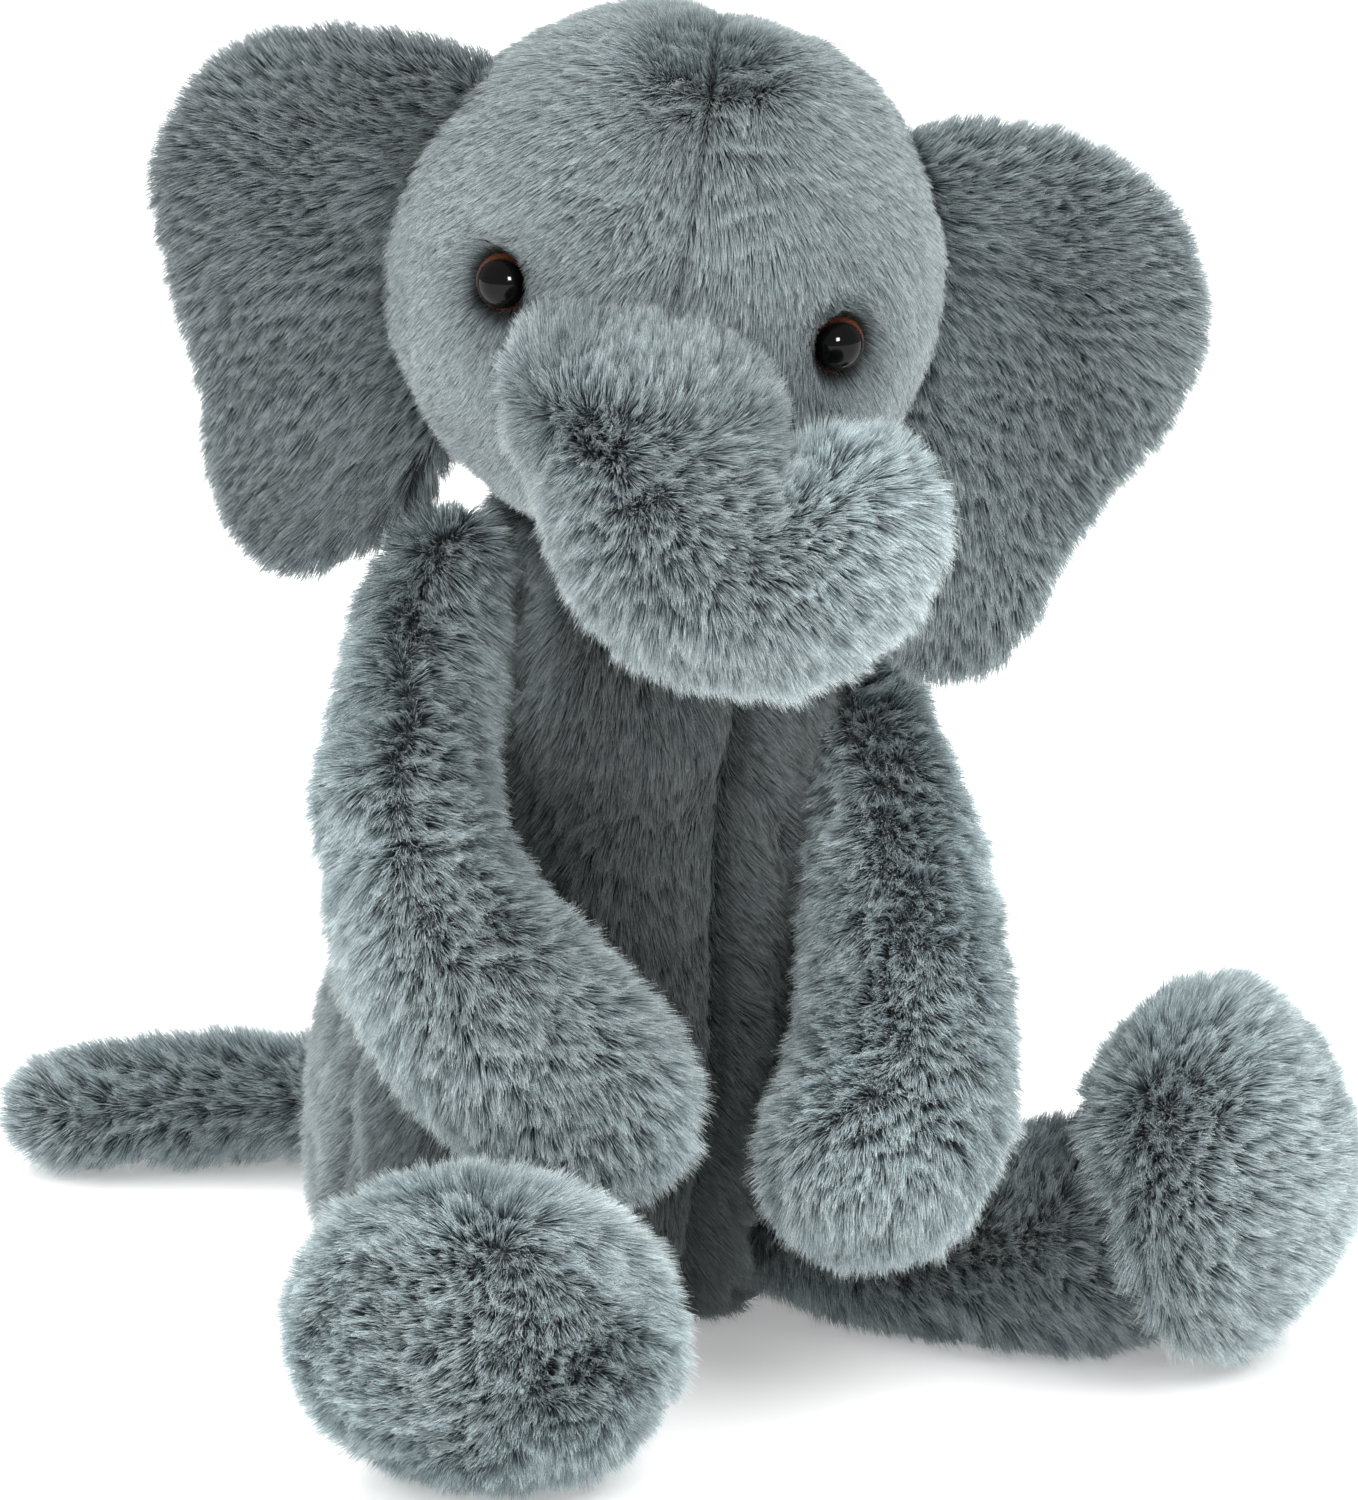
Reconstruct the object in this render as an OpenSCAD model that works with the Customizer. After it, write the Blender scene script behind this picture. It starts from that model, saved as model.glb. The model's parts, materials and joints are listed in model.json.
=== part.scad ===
// Seated plush elephant, sewn from fur fabric and filled with loose stuffing.
// Millimetres. The elephant faces -Y, its left side is +X, and the floor is Z = 0.
// It sits as it was put down: torso slumped, head turned to its right, legs splayed.
// Covers are as thick as the fur fabric with its pile pressed flat.

/* [Cloth] */
// Thickness of the fur fabric
cloth_t = 5; // [4:0.5:6]
// Gap between two pieces that move against each other
joint_gap = 0.5; // [0.4:0.1:0.6]

/* [Torso] */
// Radius of the belly at its widest
belly_r = 57; // [55:0.5:58]
// Lean of the torso towards its left side, in mm per mm of height
lean_side = 0.10; // [0.09:0.005:0.11]
// Lean of the torso forwards, in mm per mm of height
lean_front = 0.11; // [0.1:0.005:0.12]
// Depth of the bag of beans that weights the seat
bean_bag_h = 26; // [20:1:30]

/* [Head] */
// Radius of the head
head_r = 56.5; // [56:0.5:57]
// Turn of the head, towards its right when negative
head_turn = -26; // [-28:1:-24]
// Sideways tilt of the head
head_tilt = 10; // [8:1:11]
// Diameter of the safety eyes
eye_d = 12; // [10:0.5:13]

/* [Ears] */
// Thickness of one ear, both panels and the wadding
ear_t = 11; // [9:0.5:12]
// Backward sweep of the ears
ear_sweep = 8; // [5:1:10]

/* [Limbs] */
// Change in the thickness of arms, legs and tail
limb_plump = 0; // [-1:0.25:0]
// Half the width of a foot
foot_r = 39.5; // [38:0.5:40]
// Height of a foot as a share of its width
foot_flat = 1; // [0.96:0.01:1]

/* [Hidden] */

FUR = "slategray";
STUFFING = "whitesmoke";
BEAN_CLOTH = "linen";
big = 300;
slack = 0.15;
// Hair's breadth between two pieces sewn together
touch = 0.01;
// Room round the sewn ends of the limbs, and under the head
seat_room = 3;
limb_room = 2.2;
neck_room = 7;
chin_room = 14;
ball_fn = 128;
limb_sides = 16;
limb_rings = 8;

// Where the moving pieces turn
neck_at = [16, -20, 168];
head_at = [11, -33, 231];
neck_r = 20;
// Forward shift of the hollow that the chin and the ears nod into
chin_way = [8, -16, 4];
trunk_at = [1, -68, -25];
trunk_ball_r = 22.5;

// Spines of the limbs: x, y, z and radius, from the joint outwards
right_arm_spine = [[-38, -14, 152, 15], [-53, -34, 129, 19], [-56, -51, 109, 22],
    [-50, -65, 91, 24], [-41, -75, 77, 24], [-33, -81, 68, 22.5]];
left_arm_spine = [[54, -18, 143, 15], [53, -42, 122, 16.5], [49, -63, 102, 19.5],
    [45, -77, 85, 21.5], [39, -88, 71, 23], [31, -96, 61, 24], [24, -100, 56, 23.5]];
right_leg_spine = [[-27, -43, 21, 16], [-37, -59, 18, 16.5], [-49, -78, 20, 19], [-58, -93, 24, 22]];
left_leg_spine = [[33, -43, 19, 16], [44, -60, 18, 17.5], [62, -79, 21, 21], [81, -96, 25, 24.5]];
tail_spine = [[-3, 52, 17, 11], [-10, 68, 15, 13.5], [-27, 83, 15.5, 15],
    [-50, 94, 15.5, 15], [-75, 102, 14.5, 13.5]];
// Spine of the trunk, in the head's own directions
trunk_root_spine = [[-1, -38, 14, 23], [-3, -51, -1, 24.5], [-1, -62, -17, 24.5], [1, -68, -25, 24]];
trunk_spine = [[1, -68, -25, 22.5], [6, -73, -34, 22.5], [16, -76, -41, 21.5],
    [28, -78, -41, 20], [38, -78, -35, 18], [42, -76, -25, 16]];

// Outline of the right ear, outwards and up from the head's middle
ear_outline = [[40, 32], [66, 38.5], [87, 35.5], [102, 24], [109, 4], [104, -17],
    [94, -37], [88, -57], [81, -70], [70, -76], [58, -67], [46, -48]];

// Half outline of the torso: radius and height along its axis, drawn for this radius of the belly
belly_base_r = 57;
torso_outline = [[40, -12], [50, -4], [56, 12], [58, 34], [58, 52], [55, 76], [49, 100],
    [44, 124], [43, 146], [41, 160], [36, 172], [28, 180], [6, 183]];

function unit(v) = v / norm(v);
function last(c) = c[len(c) - 1];
function place(p) = [p.x, p.y, p.z];
function cubic(a, b, c, d, t) =
    (2 * b + (c - a) * t + (2 * a - 5 * b + 4 * c - d) * t * t + (3 * b - a - 3 * c + d) * t * t * t) / 2;
// A smooth open line through the points, at s from 0 to 1
function along(points, s) =
    let (n = len(points) - 1, i = min(floor(s * n), n - 1))
    cubic(points[max(i - 1, 0)], points[i], points[i + 1], points[min(i + 2, n)], s * n - i);
// A smooth closed line through the points
function around(points, s) =
    let (n = len(points), i = floor(s * n) % n)
    cubic(points[(i + n - 1) % n], points[i], points[(i + 1) % n], points[(i + 2) % n], s * n - floor(s * n));
function facing(n) = [0, acos(n.z / norm(n)), atan2(n.y, n.x)];

// Rings of a limb with round ends, each a centre with a radius, and the direction along it
function cap(end, way, depth) =
    [for (a = [82, 58, 30]) [place(end[0]) + way * sin(a) * end[1] * depth, end[1] * cos(a)]];
function limb_rings(spine, grow, cap_start, cap_end) =
    let (body = [for (i = [0:limb_rings]) let (p = along(spine, i / limb_rings)) [place(p), p[3] + grow]],
        n = len(body) - 1,
        first_way = unit(body[0][0] - body[1][0]),
        last_way = unit(body[n][0] - body[n - 1][0]),
        end = cap(body[n], last_way, cap_end))
    concat(cap(body[0], first_way, cap_start), body, [for (i = [len(end) - 1:-1:0]) end[i]]);

// A closed limb along a spine; flat is the height of its section as a share of its width
module limb(spine, grow = 0, flat = 1, cap_start = 1, cap_end = 1) {
    rings = limb_rings(spine, grow, cap_start, cap_end);
    n = len(rings);
    m = limb_sides;
    points = [for (i = [0:n - 1])
        let (way = unit(rings[min(i + 1, n - 1)][0] - rings[max(i - 1, 0)][0]),
            across = unit(cross(way, [0.05, 0.05, 1])),
            up = cross(across, way))
        for (k = [0:m - 1]) rings[i][0]
            + rings[i][1] * (across * cos(360 * k / m) + up * flat * sin(360 * k / m))];
    sides = [for (i = [0:n - 2]) for (k = [0:m - 1])
        let (a = i * m + k, b = i * m + (k + 1) % m)
        for (side = [[a, b, b + m], [a, b + m, a + m]]) side];
    start = [[for (k = [m - 1:-1:0]) k]];
    finish = [[for (k = [0:m - 1]) (n - 1) * m + k]];
    polyhedron(points = points, faces = concat(sides, start, finish), convexity = 4);
}

// Everything on one side of a plane
module side_of(at, normal) {
    translate(at) rotate(facing(normal)) translate([-big, -big, 0]) cube([2 * big, 2 * big, 2 * big]);
}

module ball(at, r) {
    translate(at) sphere(r = r, $fn = ball_fn);
}

// A limb's cover with room for its stuffing, cut to one side of a seam plane
module limb_panel(spine, at, normal, flat = 1) {
    color(FUR) intersection() {
        difference() {
            limb(spine, limb_plump, flat);
            limb(spine, limb_plump - cloth_t, flat);
        }
        side_of(at, normal);
    }
}

module limb_filling(spine, flat = 1) {
    color(STUFFING) limb(spine, limb_plump - cloth_t - slack, flat);
}

/* Torso */

module torso_form(inset = 0) {
    steps = 30;
    line = [for (i = [0:steps]) along(torso_outline, i / steps)];
    swell = belly_r / belly_base_r;
    tilt = [atan(lean_front), atan(lean_side), 0];
    rotate(tilt) rotate_extrude($fn = ball_fn)
        polygon(concat([[0, torso_outline[0].y + inset]],
            [for (p = line) [max(p.x * swell - inset, 1), p.y]],
            [[0, last(torso_outline).y - inset]]));
}

// Hollows in the torso where the neck, limbs and tail turn
module torso_seats() {
    ball(head_at, head_r + neck_room);
    ball(head_at + chin_way, head_r + chin_room);
    ball(neck_at, neck_r + joint_gap);
    for (spine = [right_arm_spine, left_arm_spine, right_leg_spine, left_leg_spine, tail_spine])
        ball(place(spine[0]), spine[0][3] + limb_plump + seat_room);
    for (spine = [right_arm_spine, left_arm_spine, right_leg_spine, left_leg_spine])
        limb(spine, limb_plump + limb_room);
}

module torso_shell() {
    difference() {
        torso_form();
        torso_form(cloth_t);
        torso_seats();
        translate([0, 0, cloth_t - big]) cube([2 * big, 2 * big, 2 * big], center = true);
    }
}

module torso_panel(side, back) {
    color(FUR) intersection() {
        torso_shell();
        side_of([0, 0, 0], [side, 0, -side * lean_side]);
        side_of([0, 0, 0], [0, back, back * lean_front]);
    }
}

module seat_panel() {
    color(FUR) intersection() {
        difference() {
            torso_form();
            torso_seats();
        }
        translate([-big, -big, 0]) cube([2 * big, 2 * big, cloth_t]);
    }
}

bean_bag_r = 36;
bean_bag_at = [2, 2];
// How far the bag's sides bulge past its flat top and bottom
bean_bag_bulge = 1.25;

module bean_bag_form(grow = 0) {
    r = bean_bag_r + grow;
    h = bean_bag_h + 2 * grow;
    translate([bean_bag_at.x, bean_bag_at.y, cloth_t + slack - grow])
        rotate_extrude($fn = ball_fn) intersection() {
            translate([0, h / 2]) scale([1, h / 2 / r * bean_bag_bulge]) circle(r = r, $fn = ball_fn);
            square([r, h]);
        }
}

module torso_stuffing() {
    color(STUFFING) difference() {
        torso_form(cloth_t + slack);
        torso_seats();
        translate([0, 0, cloth_t + slack - big]) cube([2 * big, 2 * big, 2 * big], center = true);
        bean_bag_form(slack);
    }
}

module seat_bean_bag() {
    color(BEAN_CLOTH) difference() {
        bean_bag_form();
        torso_seats();
    }
}

module neck_wad() {
    color(STUFFING) ball(neck_at, neck_r);
}

/* Head */

module in_head() {
    translate(head_at) rotate([0, head_tilt, head_turn]) children();
}

eye_out = [37, -43, -1];
// The eye is pressed this far into the head
eye_sunk = 1.5;
stem_r = 2.5;
stem_l = 12;
stem_fn = 32;
washer_r = 7;
washer_t = 1.6;
washer_fn = 48;
// From the eye's seat down to the washer's far face
washer_depth = cloth_t + 2.5;
// Room in the stuffing round the washer and the stem
washer_room = 0.5;

module at_eye(side) {
    way = [side * eye_out.x, eye_out.y, eye_out.z];
    in_head() rotate(facing(way)) translate([0, 0, head_r - eye_sunk]) children();
}

module head_seats() {
    ball(neck_at, neck_r + joint_gap);
    in_head() ball(trunk_at, trunk_ball_r + joint_gap);
}

// Half of the head's shell, its poles out at the ear
module half_shell(side) {
    in_head() rotate([0, 90 * side, 0]) rotate([0, 0, 90 + 30 * side]) difference() {
        sphere(r = head_r, $fn = ball_fn);
        sphere(r = head_r - cloth_t, $fn = ball_fn);
        translate([-big, -big, -2 * big]) cube([2 * big, 2 * big, 2 * big]);
    }
}

module head_panel(side) {
    color(FUR) difference() {
        half_shell(side);
        head_seats();
        at_eye(side) translate([0, 0, -stem_l]) cylinder(r = stem_r + slack, h = 2 * stem_l, $fn = stem_fn);
        at_eye(side) eye_form(slack);
    }
}

module eye_form(grow = 0) {
    r = eye_d / 2 + grow;
    translate([0, 0, -1 - grow]) rotate_extrude($fn = ball_fn) intersection() {
        translate([0, -0.25 * r]) circle(r = 1.08 * r, $fn = ball_fn);
        square([r, r]);
    }
}

module eye(side) {
    color("black") at_eye(side) {
        eye_form();
        translate([0, 0, -stem_l]) cylinder(r = stem_r, h = stem_l, $fn = stem_fn);
    }
}

module eye_washer(side) {
    color("white") at_eye(side) translate([0, 0, -washer_depth]) difference() {
        cylinder(r = washer_r, h = washer_t, $fn = washer_fn);
        translate([0, 0, -1]) cylinder(r = stem_r + 0.05, h = washer_t + 2, $fn = stem_fn);
    }
}

module head_stuffing() {
    color(STUFFING) difference() {
        ball(head_at, head_r - cloth_t - slack);
        head_seats();
        for (s = [-1, 1]) at_eye(s) translate([0, 0, -stem_l - washer_room])
            cylinder(r = washer_r + washer_room, h = 2 * stem_l, $fn = washer_fn);
    }
}

/* Trunk: the root is sewn to the face, the rest bends on it */

trunk_way = unit([2, -5, -8]);
// The root stops this far short of the trunk's joint
root_short = 7;
root_end = trunk_at - trunk_way * root_short;

module trunk_root_form(inset = 0) {
    difference() {
        in_head() intersection() {
            limb(trunk_root_spine, -inset);
            side_of(root_end, -trunk_way);
        }
        ball(head_at, head_r + touch);
        in_head() ball(trunk_at, trunk_ball_r + joint_gap);
    }
}

module trunk_root_cover() {
    color(FUR) difference() {
        trunk_root_form();
        in_head() limb(trunk_root_spine, -cloth_t);
    }
}

module trunk_root_stuffing() {
    color(STUFFING) trunk_root_form(cloth_t + slack);
}

/* Ears: flat in the head's own upright plane, hinged along the side of the head */

ear_hinge = head_r + 3;
// Half the thickness of the wadding, and how far it stops short of the ear's edge
ear_core = 1;
ear_core_in = 4;

module ear_layer(side, low, high, inset, colour) {
    steps = 40;
    line = [for (i = [0:steps - 1]) around(ear_outline, i / steps)];
    color(colour) in_head() scale([side, 1, 1]) translate([ear_hinge, 0, 0]) rotate([0, 0, ear_sweep])
        translate([-ear_hinge, 0, 0]) difference() {
            translate([0, -low, 0]) rotate([90, 0, 0]) linear_extrude(high - low)
                offset(delta = -inset) polygon(line);
            ball([0, 0, 0], ear_hinge);
        }
}

module ear_front(side) {
    ear_layer(side, ear_core, ear_t / 2, 0, FUR);
}

module ear_wadding(side) {
    ear_layer(side, slack - ear_core, ear_core - slack, ear_core_in, STUFFING);
}

module ear_back(side) {
    ear_layer(side, -ear_t / 2, -ear_core, 0, FUR);
}

/* Feet: a round bun on the end of each leg, with a sole panel */

// Each foot: its middle, the way its sole faces, and its height as a share of its width
left_foot = [[104, -109, 41], unit([79, -63, 0]), 1];
right_foot = [[-70, -111, 33.5], unit([-45, -69, -28]), 0.87];
foot_base_r = 37;
foot_line = [[-24, 20], [-17, 31], [-6, 36.5], [5, 37], [15, 33], [22, 22]];
sole_at = 12;
// How deep the round ends of a foot are, as shares of their radius
foot_cap_start = 0.3;
foot_cap_end = 0.25;

function foot_spine(foot) =
    [for (p = foot_line) let (c = foot[0] + foot[1] * p.x) [c.x, c.y, c.z, p.y * foot_r / foot_base_r]];

module foot_form(foot, inset = 0) {
    intersection() {
        limb(foot_spine(foot), -inset, foot_flat * foot[2], foot_cap_start, foot_cap_end);
        translate([-big, -big, inset]) cube([2 * big, 2 * big, 2 * big]);
    }
}

module ankle_seat(ankle) {
    ball(place(ankle), ankle[3] + limb_plump + joint_gap);
}

// The part of a foot beyond the seam of its sole
module sole_side(foot) {
    side_of(foot[0] + foot[1] * sole_at, foot[1]);
}

module foot_cover(foot, ankle) {
    color(FUR) difference() {
        foot_form(foot);
        foot_form(foot, cloth_t);
        ankle_seat(ankle);
        sole_side(foot);
    }
}

module foot_sole(foot) {
    color(FUR) intersection() {
        difference() {
            foot_form(foot);
            foot_form(foot, cloth_t);
        }
        sole_side(foot);
    }
}

module foot_stuffing(foot, ankle) {
    color(STUFFING) difference() {
        foot_form(foot, cloth_t + slack);
        ankle_seat(ankle);
    }
}

// Seam planes of the limbs: a point on each, and the side that the first panel is on
left_arm_seam = [[55, -60, 90], [1, 0, 0.2]];
right_arm_seam = [[-46, -42, 106], [-1, 0, 0]];
leg_seam = [[0, 0, 21], [0, 0, 1]];
tail_seam = [[0, 0, 16], [0, 0, 1]];
trunk_seam = [[24, -72, -34], [0, -1, 0.2]];

module left_arm_panel(side) {
    limb_panel(left_arm_spine, left_arm_seam[0], left_arm_seam[1] * side);
}

module right_arm_panel(side) {
    limb_panel(right_arm_spine, right_arm_seam[0], right_arm_seam[1] * side);
}

module leg_panel(spine, side) {
    limb_panel(spine, leg_seam[0], leg_seam[1] * side);
}

module tail_panel(side) {
    limb_panel(tail_spine, tail_seam[0], tail_seam[1] * side);
}

module trunk_panel(side) {
    in_head() limb_panel(trunk_spine, trunk_seam[0], trunk_seam[1] * side);
}

torso_panel(1, -1);  // front_left_panel
torso_panel(-1, -1);  // front_right_panel
torso_panel(1, 1);  // back_left_panel
torso_panel(-1, 1);  // back_right_panel
seat_panel();
torso_stuffing();
seat_bean_bag();
neck_wad();
head_panel(1);  // head_left_panel
head_panel(-1);  // head_right_panel
head_stuffing();
trunk_root_cover();
trunk_root_stuffing();
eye(1);  // left_eye
eye(-1);  // right_eye
eye_washer(1);  // left_eye_washer
eye_washer(-1);  // right_eye_washer
trunk_panel(1);  // trunk_upper_panel
trunk_panel(-1);  // trunk_under_panel
in_head() limb_filling(trunk_spine);  // trunk_stuffing
ear_front(1);  // left_ear_front
ear_wadding(1);  // left_ear_wadding
ear_back(1);  // left_ear_back
ear_front(-1);  // right_ear_front
ear_wadding(-1);  // right_ear_wadding
ear_back(-1);  // right_ear_back
left_arm_panel(1);  // left_arm_outer_panel
left_arm_panel(-1);  // left_arm_inner_panel
limb_filling(left_arm_spine);  // left_arm_stuffing
right_arm_panel(1);  // right_arm_outer_panel
right_arm_panel(-1);  // right_arm_inner_panel
limb_filling(right_arm_spine);  // right_arm_stuffing
leg_panel(left_leg_spine, 1);  // left_leg_top_panel
leg_panel(left_leg_spine, -1);  // left_leg_under_panel
limb_filling(left_leg_spine);  // left_leg_stuffing
leg_panel(right_leg_spine, 1);  // right_leg_top_panel
leg_panel(right_leg_spine, -1);  // right_leg_under_panel
limb_filling(right_leg_spine);  // right_leg_stuffing
foot_cover(left_foot, last(left_leg_spine));  // left_foot_cover
foot_sole(left_foot);  // left_foot_sole
foot_stuffing(left_foot, last(left_leg_spine));  // left_foot_stuffing
foot_cover(right_foot, last(right_leg_spine));  // right_foot_cover
foot_sole(right_foot);  // right_foot_sole
foot_stuffing(right_foot, last(right_leg_spine));  // right_foot_stuffing
tail_panel(1);  // tail_top_panel
tail_panel(-1);  // tail_under_panel
limb_filling(tail_spine);  // tail_stuffing
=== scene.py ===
import json
import math

import bmesh
import bpy
import numpy as np
from mathutils import Matrix, Vector
from mathutils.bvhtree import BVHTree


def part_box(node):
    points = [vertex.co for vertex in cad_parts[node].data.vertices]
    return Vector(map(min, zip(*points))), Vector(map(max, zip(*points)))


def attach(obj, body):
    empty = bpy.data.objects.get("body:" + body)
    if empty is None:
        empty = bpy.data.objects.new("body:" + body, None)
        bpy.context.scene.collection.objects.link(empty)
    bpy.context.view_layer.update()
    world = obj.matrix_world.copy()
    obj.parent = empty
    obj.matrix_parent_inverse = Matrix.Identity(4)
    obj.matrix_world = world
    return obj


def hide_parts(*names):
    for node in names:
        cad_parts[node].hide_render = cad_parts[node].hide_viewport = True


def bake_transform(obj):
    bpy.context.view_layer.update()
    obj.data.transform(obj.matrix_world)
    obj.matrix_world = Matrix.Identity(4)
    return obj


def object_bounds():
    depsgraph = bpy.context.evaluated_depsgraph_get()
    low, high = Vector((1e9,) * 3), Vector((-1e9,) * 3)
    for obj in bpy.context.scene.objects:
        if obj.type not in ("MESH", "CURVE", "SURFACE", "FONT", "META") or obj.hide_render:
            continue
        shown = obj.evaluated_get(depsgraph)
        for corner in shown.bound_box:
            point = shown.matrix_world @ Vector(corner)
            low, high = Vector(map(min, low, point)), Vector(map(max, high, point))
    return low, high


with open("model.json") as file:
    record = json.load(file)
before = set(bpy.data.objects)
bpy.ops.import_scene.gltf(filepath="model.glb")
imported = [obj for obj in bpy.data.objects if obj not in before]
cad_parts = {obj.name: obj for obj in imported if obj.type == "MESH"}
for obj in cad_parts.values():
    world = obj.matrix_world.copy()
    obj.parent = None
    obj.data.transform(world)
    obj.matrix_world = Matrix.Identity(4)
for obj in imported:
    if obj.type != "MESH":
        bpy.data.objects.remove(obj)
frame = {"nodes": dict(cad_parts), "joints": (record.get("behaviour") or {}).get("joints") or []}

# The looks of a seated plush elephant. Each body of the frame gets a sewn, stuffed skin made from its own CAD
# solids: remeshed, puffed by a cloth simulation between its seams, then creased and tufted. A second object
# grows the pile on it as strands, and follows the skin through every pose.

MM = 0.001
CAD_LOW, CAD_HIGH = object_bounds()
MIDDLE_OF_CAD = (CAD_LOW + CAD_HIGH) / 2
UP = np.array([0.0, 0.0, 1.0])

# ---- Camera, first of all -------------------------------------------------------------------------------

CAMERA_AZIMUTH, CAMERA_ELEVATION = -26.0, 17.0
CAMERA_DISTANCE = 1.573
CAMERA_SENSOR, CAMERA_LENS = 36.0, 172.8
# What the camera looks at, from the middle of the CAD box
CAMERA_AIM = Vector((7.3, 2.0, -24.4)) * MM


def look_at(thing, place, aim):
    thing.location = place
    thing.rotation_euler = (Vector(aim) - Vector(place)).to_track_quat("-Z", "Y").to_euler()


def linked(name, data):
    thing = bpy.data.objects.new(name, data)
    bpy.context.scene.collection.objects.link(thing)
    return thing


def direction(azimuth, elevation):
    a, e = math.radians(azimuth), math.radians(elevation)
    return Vector((math.sin(a) * math.cos(e), -math.cos(a) * math.cos(e), math.sin(e)))


def make_camera():
    camera = linked("camera", bpy.data.cameras.new("camera"))
    aim = MIDDLE_OF_CAD + CAMERA_AIM
    camera.data.sensor_width = CAMERA_SENSOR
    camera.data.lens = CAMERA_LENS
    look_at(camera, aim + direction(CAMERA_AZIMUTH, CAMERA_ELEVATION) * CAMERA_DISTANCE, aim)
    bpy.context.scene.camera = camera


make_camera()

# ---- Floor and light ------------------------------------------------------------------------------------

FLOOR_SIDE = 8.0
FLOOR_WHITE = 0.93
# The floor is a lit white table, so that shadows on it stay faint
FLOOR_GLOW = 0.3
# azimuth, elevation, spread in degrees, strength
SUNS = {
    "key": (35, 55, 50, 2.3),
    "side": (-100, 40, 50, 1.8),
    "back": (165, 55, 60, 2.2),
}
# A small lamp by the camera, for the glint in the eyes: azimuth, elevation, distance, size, power
GLINT = (-12, 24, 1.2, 0.24, 16.0)
WORLD_STRENGTH = 0.6


def make_floor():
    data = bpy.data.meshes.new("floor")
    h = FLOOR_SIDE / 2
    data.from_pydata([(-h, -h, 0), (h, -h, 0), (h, h, 0), (-h, h, 0)], [], [(0, 1, 2, 3)])
    floor = linked("floor", data)
    look = bpy.data.materials.new("floor_paper")
    look.use_nodes = True
    shader = look.node_tree.nodes["Principled BSDF"]
    shader.inputs["Base Color"].default_value = (FLOOR_WHITE, FLOOR_WHITE, FLOOR_WHITE, 1)
    shader.inputs["Roughness"].default_value = 0.9
    shader.inputs["Emission Color"].default_value = (1, 1, 1, 1)
    shader.inputs["Emission Strength"].default_value = FLOOR_GLOW
    data.materials.append(look)


def make_lights():
    for name, (azimuth, elevation, spread, strength) in SUNS.items():
        light = bpy.data.lights.new(name, "SUN")
        light.angle = math.radians(spread)
        light.energy = strength
        sun = linked(name, light)
        look_at(sun, MIDDLE_OF_CAD + direction(azimuth, elevation), MIDDLE_OF_CAD)
        # a softbox this broad would turn the glossy eyes grey
        sun.visible_glossy = False
    azimuth, elevation, distance, size, power = GLINT
    light = bpy.data.lights.new("glint", "AREA")
    light.size = size
    light.energy = power
    lamp = linked("glint", light)
    lamp.visible_diffuse = False
    look_at(lamp, MIDDLE_OF_CAD + direction(azimuth, elevation) * distance, MIDDLE_OF_CAD)


def make_world():
    """White all round to the camera, and a softer glow on everything else."""
    world = bpy.data.worlds.new("studio")
    world.use_nodes = True
    tree = world.node_tree
    path = tree.nodes.new("ShaderNodeLightPath")
    glow = tree.nodes.new("ShaderNodeMapRange")
    glow.inputs["To Min"].default_value = WORLD_STRENGTH
    tree.links.new(path.outputs["Is Camera Ray"], glow.inputs["Value"])
    tree.nodes["Background"].inputs["Color"].default_value = (1, 1, 1, 1)
    tree.links.new(glow.outputs["Result"], tree.nodes["Background"].inputs["Strength"])
    bpy.context.scene.world = world
    bpy.context.scene.view_settings.view_transform = "Standard"


make_floor()
make_lights()
make_world()

# ---- Where things are, read from the frame --------------------------------------------------------------

JOINTS = {joint["name"]: joint for joint in frame["joints"]}


def joint_at(name):
    return np.array(JOINTS[name]["pos_m"], float)


def joint_axis(name):
    axis = np.array(JOINTS[name]["axis"], float)
    return axis / np.linalg.norm(axis)


def box(*nodes):
    corners = [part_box(n) for n in nodes]
    return np.min([c[0] for c in corners], axis=0), np.max([c[1] for c in corners], axis=0)


def middle_of(*nodes):
    low, high = box(*nodes)
    return (low + high) / 2


# The head's own directions: across to its left, back, and up
HEAD_X = joint_axis("neck_nod")
HEAD_Z = joint_axis("left_ear_flap")
HEAD_Y = np.cross(HEAD_Z, HEAD_X)
HEAD_PANELS = ["head_left_panel", "head_right_panel"]
HEAD_LOW, HEAD_HIGH = box(*HEAD_PANELS)
HEAD_R = (HEAD_HIGH - HEAD_LOW)[0] / 2
HEAD_AT = np.array([HEAD_LOW[0] + HEAD_R, HEAD_HIGH[1] - HEAD_R, HEAD_HIGH[2] - HEAD_R])


def in_head(x, y, z):
    """A point given in the head's own directions from its middle, in mm."""
    return HEAD_AT + (HEAD_X * x + HEAD_Y * y + HEAD_Z * z) * MM


# ---- Small tools: vectors and noise ---------------------------------------------------------------------

# Large odd numbers that scramble a place and a seed into a number of 32 bits
PLACE_MIX = (73856093, 19349663, 83492791)
SEED_MIX = 2654435761
BIT_MIX = 0x45D9F3B
ALL_BITS = 0xFFFFFFFF


def unit(v):
    v = np.asarray(v, float)
    return v / np.maximum(np.linalg.norm(v, axis=-1, keepdims=True), 1e-9)


def along_surface(vectors, normals):
    """The vectors without the part that leaves the surface."""
    return vectors - normals * np.sum(vectors * normals, axis=1, keepdims=True)


def bump(far, reach):
    """1 at the middle, and close to nothing at twice the reach."""
    return np.exp(-(far / reach) ** 2)


def eased(f):
    """From 0 to 1 with a gentle start and end."""
    return f * f * (3 - 2 * f)


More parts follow.
